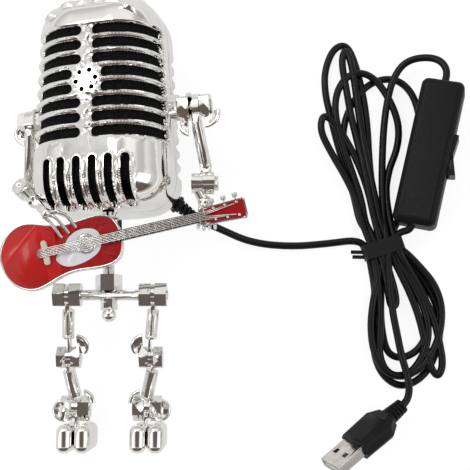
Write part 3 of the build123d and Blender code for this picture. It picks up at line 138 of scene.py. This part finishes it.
spline.points.add(len(cordPoints) - 1)
for point, place in zip(spline.points, cordPoints):
    point.co = (*[value * mm for value in place], 1.0)
    point.radius = cordFacts["radius"] * mm
spline.order_u = 3
spline.use_endpoint_u = True
cord = bpy.data.objects.new("cord", route)
bpy.context.scene.collection.objects.link(cord)


def lineLength(curveObject):
    bare = curveObject.copy()
    bare.data = curveObject.data.copy()
    bare.data.bevel_depth = 0
    line = bpy.data.meshes.new_from_object(bare)
    spots = [vertex.co for vertex in line.vertices]
    total = sum((spots[edge.vertices[0]] - spots[edge.vertices[1]]).length for edge in line.edges)
    bpy.data.objects.remove(bare)
    bpy.data.meshes.remove(line)
    return total


cordLength = lineLength(cord)
print("cord is laid,", round(cordLength, 3), "m")
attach(cord, "head")
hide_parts("cord_runs", "cord_hank_upper", "cord_hank_lower")


# shader groups: one broken-up mask with a bump height, one scratch mask
def newGroup(name, inputs, outputs):
    group = bpy.data.node_groups.new(name, "ShaderNodeTree")
    for label, value in inputs:
        socket = group.interface.new_socket(label, in_out="INPUT", socket_type="NodeSocketFloat")
        socket.default_value = value
    for label in outputs:
        group.interface.new_socket(label, in_out="OUTPUT", socket_type="NodeSocketFloat")
    return group, group.nodes.new("NodeGroupInput"), group.nodes.new("NodeGroupOutput")


mottleSetup = {"broadDetail": 3.0, "fineDetail": 2.0, "finer": 7.0, "low": 0.35, "high": 0.65}
scratchSetup = {"stretch": (1.0, 9.0, 3.0), "turn": (0.3, 0.2, 0.7), "detail": 4.0, "low": 0.58, "high": 0.72}


def mottleGroup(setup):
    group, enter, leave = newGroup("mottle", [("Scale", 400.0), ("Contrast", 0.5)], ["Mask", "Height"])
    coordinates = group.nodes.new("ShaderNodeTexCoord")
    broad, fine = group.nodes.new("ShaderNodeTexNoise"), group.nodes.new("ShaderNodeTexNoise")
    broad.inputs["Detail"].default_value = setup["broadDetail"]
    fine.inputs["Detail"].default_value = setup["fineDetail"]
    finer = group.nodes.new("ShaderNodeMath")
    finer.operation = "MULTIPLY"
    finer.inputs[1].default_value = setup["finer"]
    spread = group.nodes.new("ShaderNodeMapRange")
    spread.inputs["From Min"].default_value = setup["low"]
    spread.inputs["From Max"].default_value = setup["high"]
    mix = group.nodes.new("ShaderNodeMath")
    mix.operation = "MULTIPLY"
    link = group.links.new
    link(coordinates.outputs["Object"], broad.inputs["Vector"])
    link(coordinates.outputs["Object"], fine.inputs["Vector"])
    link(enter.outputs["Scale"], broad.inputs["Scale"])
    link(enter.outputs["Scale"], finer.inputs[0])
    link(finer.outputs[0], fine.inputs["Scale"])
    link(broad.outputs["Fac"], spread.inputs["Value"])
    link(spread.outputs["Result"], mix.inputs[0])
    link(enter.outputs["Contrast"], mix.inputs[1])
    link(mix.outputs[0], leave.inputs["Mask"])
    link(fine.outputs["Fac"], leave.inputs["Height"])
    return group


def scratchGroup(setup):
    group, enter, leave = newGroup("fine_scratches", [("Scale", 300.0), ("Contrast", 0.3)], ["Mask"])
    coordinates, stretch = group.nodes.new("ShaderNodeTexCoord"), group.nodes.new("ShaderNodeMapping")
    stretch.inputs["Scale"].default_value = setup["stretch"]
    stretch.inputs["Rotation"].default_value = setup["turn"]
    lines, cut = group.nodes.new("ShaderNodeTexNoise"), group.nodes.new("ShaderNodeMapRange")
    lines.inputs["Detail"].default_value = setup["detail"]
    cut.inputs["From Min"].default_value = setup["low"]
    cut.inputs["From Max"].default_value = setup["high"]
    mix = group.nodes.new("ShaderNodeMath")
    mix.operation = "MULTIPLY"
    link = group.links.new
    link(coordinates.outputs["Object"], stretch.inputs["Vector"])
    link(stretch.outputs["Vector"], lines.inputs["Vector"])
    link(enter.outputs["Scale"], lines.inputs["Scale"])
    link(lines.outputs["Fac"], cut.inputs["Value"])
    link(cut.outputs["Result"], mix.inputs[0])
    link(enter.outputs["Contrast"], mix.inputs[1])
    link(mix.outputs[0], leave.inputs["Mask"])
    return group


mottle, scratches = mottleGroup(mottleSetup), scratchGroup(scratchSetup)


# a surface whose colour and gloss vary between two tones, with a fine bump
def finish(name, light, dark, rough, metal=0.0, scale=400.0, bump=0.1, bumpDepth=0.00005, coat=0.0,
           scratch=0.0, shine=0.5):
    material = bpy.data.materials.new(name)
    material.use_nodes = True
    tree = material.node_tree
    shader = tree.nodes["Principled BSDF"]
    shader.inputs["Metallic"].default_value = metal
    shader.inputs["Coat Weight"].default_value = coat
    shader.inputs["Specular IOR Level"].default_value = shine
    shader.inputs["Coat Roughness"].default_value = 0.05
    cloud = tree.nodes.new("ShaderNodeGroup")
    cloud.node_tree = mottle
    cloud.inputs["Scale"].default_value = scale
    cloud.inputs["Contrast"].default_value = 1.0
    tone = tree.nodes.new("ShaderNodeMix")
    tone.data_type = "RGBA"
    tone.inputs["A"].default_value = (*light, 1)
    tone.inputs["B"].default_value = (*dark, 1)
    gloss = tree.nodes.new("ShaderNodeMapRange")
    gloss.inputs["To Min"].default_value, gloss.inputs["To Max"].default_value = rough
    relief = tree.nodes.new("ShaderNodeBump")
    relief.inputs["Strength"].default_value = bump
    relief.inputs["Distance"].default_value = bumpDepth
    link = tree.links.new
    link(cloud.outputs["Mask"], tone.inputs["Factor"])
    link(tone.outputs["Result"], shader.inputs["Base Color"])
    link(cloud.outputs["Height"], relief.inputs["Height"])
    link(relief.outputs["Normal"], shader.inputs["Normal"])
    if scratch:
        marks = tree.nodes.new("ShaderNodeGroup")
        marks.node_tree = scratches
        marks.inputs["Contrast"].default_value = scratch
        both = tree.nodes.new("ShaderNodeMath")
        both.operation = "MAXIMUM"
        link(cloud.outputs["Mask"], both.inputs[0])
        link(marks.outputs["Mask"], both.inputs[1])
        link(both.outputs[0], gloss.inputs["Value"])
    else:
        link(cloud.outputs["Mask"], gloss.inputs["Value"])
    link(gloss.outputs["Result"], shader.inputs["Roughness"])
    return material


finishSetup = {
    "chrome": {"light": (0.9, 0.89, 0.865), "dark": (0.8, 0.79, 0.765), "rough": (0.03, 0.08), "metal": 1.0,
        "scale": 90.0, "bump": 0.02, "bumpDepth": 0.00003, "scratch": 0.5},
    "guitar_metal": {"light": (0.88, 0.87, 0.85), "dark": (0.76, 0.75, 0.73), "rough": (0.06, 0.13),
        "metal": 1.0, "scale": 160.0, "bump": 0.03, "bumpDepth": 0.00003},
    "strings": {"light": (0.86, 0.84, 0.82), "dark": (0.62, 0.6, 0.58), "rough": (0.12, 0.25), "metal": 1.0,
        "scale": 500.0, "bump": 0.05},
    "tuners": {"light": (0.88, 0.86, 0.83), "dark": (0.7, 0.68, 0.65), "rough": (0.1, 0.2), "metal": 0.8,
        "scale": 300.0, "bump": 0.04},
    "screws": {"light": (0.6, 0.6, 0.62), "dark": (0.42, 0.42, 0.44), "rough": (0.2, 0.35), "metal": 1.0,
        "bump": 0.05},
    "pickguard": {"light": (0.91, 0.91, 0.94), "dark": (0.84, 0.84, 0.88), "rough": (0.15, 0.28),
        "scale": 200.0, "bump": 0.05, "coat": 0.2},
    "bridge": {"light": (0.82, 0.77, 0.66), "dark": (0.7, 0.64, 0.52), "rough": (0.2, 0.35), "bump": 0.08},
    "grille_fabric": {"light": (0.006, 0.006, 0.006), "dark": (0.002, 0.002, 0.002), "rough": (0.8, 0.98),
        "scale": 900.0, "bump": 0.6, "bumpDepth": 0.0002, "shine": 0.15},
    "led_board": {"light": (0.72, 0.74, 0.72), "dark": (0.62, 0.64, 0.62), "rough": (0.3, 0.45),
        "scale": 300.0, "bump": 0.05},
    "led_chips": {"light": (0.82, 0.7, 0.2), "dark": (0.74, 0.58, 0.14), "rough": (0.25, 0.4),
        "scale": 500.0, "bump": 0.05},
    "wire": {"light": (0.35, 0.03, 0.03), "dark": (0.22, 0.02, 0.02), "rough": (0.35, 0.5), "scale": 500.0,
        "bump": 0.05},
    "cord": {"light": (0.005, 0.005, 0.0055), "dark": (0.003, 0.003, 0.0035), "rough": (0.28, 0.42),
        "scale": 350.0, "bump": 0.12, "shine": 0.25},
    "tie": {"light": (0.006, 0.006, 0.006), "dark": (0.004, 0.004, 0.004), "rough": (0.4, 0.6),
        "scale": 500.0, "bump": 0.2, "shine": 0.3},
    "switch_case": {"light": (0.005, 0.005, 0.0055), "dark": (0.003, 0.003, 0.0035), "rough": (0.4, 0.52),
        "scale": 1400.0, "bump": 0.35, "bumpDepth": 0.00003, "shine": 0.18},
    "rocker": {"light": (0.004, 0.004, 0.0045), "dark": (0.003, 0.003, 0.0035), "rough": (0.25, 0.38),
        "scale": 1200.0, "bumpDepth": 0.00002, "shine": 0.25},
    "usb_grip": {"light": (0.005, 0.005, 0.0055), "dark": (0.003, 0.003, 0.0035), "rough": (0.38, 0.52),
        "scale": 1200.0, "bump": 0.3, "bumpDepth": 0.00004, "shine": 0.2},
    "usb_shell": {"light": (0.8, 0.77, 0.73), "dark": (0.66, 0.63, 0.59), "rough": (0.18, 0.32),
        "metal": 1.0, "scale": 300.0, "bump": 0.05, "scratch": 0.6},
    "usb_tongue": {"light": (0.8, 0.8, 0.78), "dark": (0.7, 0.7, 0.68), "rough": (0.35, 0.5), "bump": 0.05},
}
finishes = {name: finish(name, **setup) for name, setup in finishSetup.items()}


# enamel, deeper towards the guitar's narrow half, with orange-peel ripple
def enamelFinish(setup):
    material = finish("guitar_red", setup["bright"], setup["bright"], setup["rough"], scale=setup["scale"],
                      bump=setup["bump"], coat=setup["coat"], shine=setup["shine"])
    tree = material.node_tree
    place, split = tree.nodes.new("ShaderNodeTexCoord"), tree.nodes.new("ShaderNodeVectorMath")
    ramp = tree.nodes.new("ShaderNodeMapRange")
    split.operation = "DOT_PRODUCT"
    split.inputs[1].default_value = setup["alongNeck"]
    ramp.inputs["From Min"].default_value, ramp.inputs["From Max"].default_value = setup["from"], setup["to"]
    deep = tree.nodes.new("ShaderNodeMix")
    deep.data_type = "RGBA"
    deep.inputs["A"].default_value = (*setup["bright"], 1)
    deep.inputs["B"].default_value = (*setup["deep"], 1)
    link = tree.links.new
    link(place.outputs["Object"], split.inputs[0])
    link(split.outputs["Value"], ramp.inputs["Value"])
    link(ramp.outputs["Result"], deep.inputs["Factor"])
    link(deep.outputs["Result"], tree.nodes["Principled BSDF"].inputs["Base Color"])
    return material


enamelSetup = {"bright": (0.64, 0.014, 0.012), "deep": (0.42, 0.004, 0.006), "rough": (0.22, 0.34),
               "scale": 250.0, "bump": 0.06, "coat": 0.35, "shine": 0.3, "alongNeck": (0.974, 0.228, 0.0),
               "from": -0.034, "to": -0.016}
finishes["guitar_red"] = enamelFinish(enamelSetup)


# bright neck whose flat upper side is a dark board
def neckFinish(setup):
    material = finish("guitar_neck", setup["metal"], setup["metalDark"], setup["rough"], setup["metallic"],
                      setup["scale"], setup["bump"], setup["bumpDepth"])
    tree = material.node_tree
    shader, place = tree.nodes["Principled BSDF"], tree.nodes.new("ShaderNodeTexCoord")
    height, onTop = tree.nodes.new("ShaderNodeSeparateXYZ"), tree.nodes.new("ShaderNodeMapRange")
    onTop.inputs["From Min"].default_value = setup["from"]
    onTop.inputs["From Max"].default_value = setup["to"]
    grain = tree.nodes.new("ShaderNodeGroup")
    grain.node_tree = mottle
    grain.inputs["Scale"].default_value = setup["grain"]
    grain.inputs["Contrast"].default_value = 1.0
    wood, board, bare = (tree.nodes.new("ShaderNodeMix") for _ in range(3))
    wood.data_type = board.data_type = "RGBA"
    wood.inputs["A"].default_value = (*setup["wood"], 1)
    wood.inputs["B"].default_value = (*setup["woodDark"], 1)
    bare.inputs["A"].default_value, bare.inputs["B"].default_value = setup["metallic"], 0.0
    link = tree.links.new
    link(place.outputs["Object"], height.inputs[0])
    link(height.outputs["Z"], onTop.inputs["Value"])
    link(grain.outputs["Mask"], wood.inputs["Factor"])
    link(onTop.outputs["Result"], board.inputs["Factor"])
    link(shader.inputs["Base Color"].links[0].from_socket, board.inputs["A"])
    link(wood.outputs["Result"], board.inputs["B"])
    link(board.outputs["Result"], shader.inputs["Base Color"])
    link(onTop.outputs["Result"], bare.inputs["Factor"])
    link(bare.outputs["Result"], shader.inputs["Metallic"])
    return material


neckSetup = {"metal": (0.86, 0.85, 0.83), "metalDark": (0.70, 0.69, 0.67), "rough": (0.08, 0.16),
             "metallic": 0.9, "scale": 200.0, "bump": 0.03, "bumpDepth": 0.00003, "grain": 900.0,
             "wood": (0.035, 0.022, 0.018), "woodDark": (0.015, 0.010, 0.009), "from": 0.04030, "to": 0.04042}
print(len(finishes) + 1, "finishes are set up")

# every CAD node gets its finish; hard pieces get smooth shading on a joined copy
slotOf = {entry["node"]: entry["material_slot"] for entry in frame["record"]["subparts"]}
cadShading = {"smoothAngle": 32, "mergeDistance": 0.000002}
hidden = {"cord_runs", "cord_hank_upper", "cord_hank_lower"}


def smoothCopy(node):
    copy = nodes[node].copy()
    copy.data = nodes[node].data.copy()
    copy.name = node + "_finished"
    copy.parent = None
    for key in list(copy.keys()):
        del copy[key]
    bpy.context.scene.collection.objects.link(copy)
    copy.data.materials.clear()
    copy.data.materials.append(finishes[slotOf[node]])
    makeActive(copy)
    bpy.ops.object.mode_set(mode="EDIT")
    bpy.ops.mesh.select_all(action="SELECT")
    bpy.ops.mesh.remove_doubles(threshold=cadShading["mergeDistance"])
    bpy.ops.object.mode_set(mode="OBJECT")
    bpy.ops.object.shade_smooth_by_angle(angle=math.radians(cadShading["smoothAngle"]))
    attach(copy, bodyOf[node])
    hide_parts(node)
    return copy


pieces = {node: smoothCopy(node) for node in sorted(nodes) if node not in hidden}
pieces["guitar_neck"].data.materials[0] = neckFinish(neckSetup)
cord.data.materials.append(finishes["cord"])
for node in hidden:
    nodes[node].data.materials.clear()
    nodes[node].data.materials.append(finishes["cord"])
print(len(pieces), "pieces are finished")

# half-round frets across the board, closer together towards the body
guitarPlace = {"middle": (-0.0137, -0.01108), "turn": math.radians(13.2), "boardTop": 0.0405}
fretSetup = {"first": 0.0446, "last": 0.0108, "count": 13, "closing": 0.94, "width": 0.0040,
             "across": 0.00034, "rise": 0.00011, "sides": 12, "edge": 0.05, "smoothAngle": 40}


def layFrets(setup):
    steps = [setup["closing"] ** number for number in range(setup["count"] - 1)]
    unit = (setup["first"] - setup["last"]) / sum(steps)
    alongs = [setup["first"] - unit * sum(steps[:number]) for number in range(setup["count"])]
    frets = []
    for along in alongs:
        clearSelection()
        bpy.ops.mesh.primitive_cylinder_add(vertices=setup["sides"], radius=0.5, depth=1.0)
        fret = bpy.context.object
        bpy.ops.object.mode_set(mode="EDIT")
        bpy.ops.mesh.select_all(action="SELECT")
        bpy.ops.mesh.bevel(offset=setup["edge"], segments=1, clamp_overlap=True)
        bpy.ops.object.mode_set(mode="OBJECT")
        fret.rotation_euler = (math.pi / 2, 0, 0)
        bpy.ops.object.transform_apply(rotation=True)
        fret.scale = (setup["across"], setup["width"], 2 * setup["rise"])
        fret.location = (along, 0, guitarPlace["boardTop"])
        bpy.ops.object.transform_apply(location=True, scale=True)
        frets.append(fret)
    clearSelection()
    for fret in frets:
        fret.select_set(True)
    bpy.context.view_layer.objects.active = frets[0]
    bpy.ops.object.join()
    row = bpy.context.object
    row.name = "guitar_frets"
    row.rotation_euler = (0, 0, guitarPlace["turn"])
    row.location = (*guitarPlace["middle"], 0)
    bpy.ops.object.transform_apply(location=True, rotation=True)
    bpy.ops.object.shade_smooth_by_angle(angle=math.radians(setup["smoothAngle"]))
    row.data.materials.append(finishes["strings"])
    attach(row, "left_arm")


layFrets(fretSetup)
print("frets are laid")

# pale table, white for the camera and in reflections, that keeps a faint shadow
stageSetup = {"size": 6.0, "drop": 0.0002, "level": 0.9, "rough": 0.9, "white": 0.7, "mirrored": 0.85,
              "viewed": 0.37}
clearSelection()
bpy.ops.mesh.primitive_plane_add(size=stageSetup["size"], location=(0, 0, -stageSetup["drop"]))
table = bpy.context.object
table.name = "table"
paper = bpy.data.materials.new("table_paper")
paper.use_nodes = True
paperTree = paper.node_tree
paperTree.nodes["Principled BSDF"].inputs["Base Color"].default_value = (stageSetup["level"],) * 3 + (1,)
paperTree.nodes["Principled BSDF"].inputs["Roughness"].default_value = stageSetup["rough"]
rays, glow = paperTree.nodes.new("ShaderNodeLightPath"), paperTree.nodes.new("ShaderNodeEmission")
blendOf = paperTree.nodes.new("ShaderNodeMixShader")
seen, seenToo, share, strength = (paperTree.nodes.new("ShaderNodeMath") for _ in range(4))
seen.operation = seenToo.operation = "MAXIMUM"
strength.operation = "MULTIPLY_ADD"
strength.inputs[1].default_value = stageSetup["viewed"]
strength.inputs[2].default_value = stageSetup["mirrored"]
paperTree.links.new(rays.outputs["Is Camera Ray"], strength.inputs[0])
paperTree.links.new(strength.outputs[0], glow.inputs["Strength"])
share.operation = "MULTIPLY"
share.inputs[1].default_value = stageSetup["white"]
paperTree.links.new(rays.outputs["Is Camera Ray"], seen.inputs[0])
paperTree.links.new(rays.outputs["Is Glossy Ray"], seen.inputs[1])
paperTree.links.new(seen.outputs[0], seenToo.inputs[0])
paperTree.links.new(rays.outputs["Is Transmission Ray"], seenToo.inputs[1])
paperTree.links.new(seenToo.outputs[0], share.inputs[0])
paperTree.links.new(share.outputs[0], blendOf.inputs["Fac"])
paperTree.links.new(paperTree.nodes["Principled BSDF"].outputs[0], blendOf.inputs[1])
paperTree.links.new(glow.outputs[0], blendOf.inputs[2])
paperTree.links.new(blendOf.outputs[0], paperTree.nodes["Material Output"].inputs["Surface"])
table.data.materials.append(paper)

# world: white to the camera, a soft studio with darker sides in reflections
roomSetup = {
    "plain": 0.5, "low": -0.1, "warmth": 0.985, "dark": (0.085, 0.055, 0.045), "depth": 0.93,
    "heights": ((0.0, 0.9), (0.12, 0.95), (0.2, 0.6), (0.32, 0.64), (0.5, 0.86), (0.72, 1.0)),
    "overhead": (0.9, 0.965), "feetSide": (0.3, 0.55), "lifted": (0.08, 0.25),
    "sideIn": (0.42, 0.62), "sideOut": (0.70, 0.82), "sideShare": 0.45,
}
world = bpy.data.worlds.new("studio")
bpy.context.scene.world = world
world.use_nodes = True
sky = world.node_tree
plain = sky.nodes["Background"]
plain.inputs["Color"].default_value = (1, 1, 1, 1)
plain.inputs["Strength"].default_value = roomSetup["plain"]
white, room = (sky.nodes.new("ShaderNodeBackground") for _ in range(2))
mixRoom, mixSeen = (sky.nodes.new("ShaderNodeMixShader") for _ in range(2))
skyRays, direction = sky.nodes.new("ShaderNodeLightPath"), sky.nodes.new("ShaderNodeTexCoord")
ramp = sky.nodes.new("ShaderNodeValToRGB")
parts, tilt = sky.nodes.new("ShaderNodeSeparateXYZ"), sky.nodes.new("ShaderNodeMapRange")
tilt.inputs["From Min"].default_value = roomSetup["low"]
stops = ramp.color_ramp.elements  # the last one stays white
for position, level in roomSetup["heights"]:
    stop = stops.new(position) if position else stops[0]
    stop.color = (level, level, level * roomSetup["warmth"], 1)
skyLink = sky.links.new
skyLink(direction.outputs["Generated"], parts.inputs[0])
skyLink(parts.outputs["Z"], tilt.inputs["Value"])
skyLink(tilt.outputs["Result"], ramp.inputs["Fac"])


def skyMask(source, limits, turnRound=False):
    mask = sky.nodes.new("ShaderNodeMapRange")
    mask.interpolation_type = "SMOOTHSTEP"
    mask.inputs["From Min"].default_value, mask.inputs["From Max"].default_value = limits
    if turnRound:
        mask.inputs["To Min"].default_value, mask.inputs["To Max"].default_value = 1.0, 0.0
    skyLink(source, mask.inputs["Value"])
    return mask.outputs["Result"]


def skyMath(operation, one, two):
    step = sky.nodes.new("ShaderNodeMath")
    step.operation = operation
    for socket, value in zip(step.inputs, (one, two)):
        if isinstance(value, float):
            socket.default_value = value
        else:
            skyLink(value, socket)
    return step.outputs[0]


above = skyMask(parts.outputs["Z"], roomSetup["overhead"])
feetSide = skyMask(skyMath("MULTIPLY", parts.outputs["Y"], -1.0), roomSetup["feetSide"])
lifted = skyMask(parts.outputs["Z"], roomSetup["lifted"])
sideIn = skyMask(parts.outputs["X"], roomSetup["sideIn"])
sideOut = skyMask(parts.outputs["X"], roomSetup["sideOut"], True)
sideWall = skyMath("MULTIPLY", skyMath("MULTIPLY", sideIn, sideOut), lifted)
side = skyMath("MULTIPLY", sideWall, roomSetup["sideShare"])
shade = skyMath("MAXIMUM", skyMath("MAXIMUM", above, skyMath("MULTIPLY", feetSide, lifted)), side)
shaded = sky.nodes.new("ShaderNodeMix")
shaded.data_type = "RGBA"
shaded.inputs["B"].default_value = (*roomSetup["dark"], 1)
skyLink(skyMath("MULTIPLY", shade, roomSetup["depth"]), shaded.inputs["Factor"])
skyLink(ramp.outputs["Color"], shaded.inputs["A"])
skyLink(shaded.outputs["Result"], room.inputs["Color"])
skyLink(skyRays.outputs["Is Glossy Ray"], mixRoom.inputs["Fac"])
skyLink(plain.outputs[0], mixRoom.inputs[1])
skyLink(room.outputs[0], mixRoom.inputs[2])
viewed = sky.nodes.new("ShaderNodeMath")
viewed.operation = "MAXIMUM"
skyLink(skyRays.outputs["Is Camera Ray"], viewed.inputs[0])
skyLink(skyRays.outputs["Is Transmission Ray"], viewed.inputs[1])
skyLink(viewed.outputs[0], mixSeen.inputs["Fac"])
skyLink(mixRoom.outputs[0], mixSeen.inputs[1])
skyLink(white.outputs[0], mixSeen.inputs[2])
skyLink(mixSeen.outputs[0], sky.nodes["World Output"].inputs["Surface"])

lamps = {
    "key_lamp": {"place": (-0.25, 0.30, 0.55), "aim": (0.02, 0.0, 0.0), "size": 0.30, "power": 0.9},
    "fill_lamp": {"place": (0.50, -0.10, 0.45), "aim": (0.05, 0.0, 0.0), "size": 0.35, "power": 0.5},
    "strip_lamp": {"place": (-0.45, -0.20, 0.35), "aim": (0.0, 0.0, 0.02), "size": 0.20, "power": 0.3},
}
for name, setup in lamps.items():
    clearSelection()
    bpy.ops.object.light_add(type="AREA", location=setup["place"])
    lamp = bpy.context.object
    lamp.name = name
    lamp.data.size = setup["size"]
    lamp.data.energy = setup["power"]
    lamp.rotation_euler = aimAt(lamp, setup["aim"])
print("stage and lamps are set")
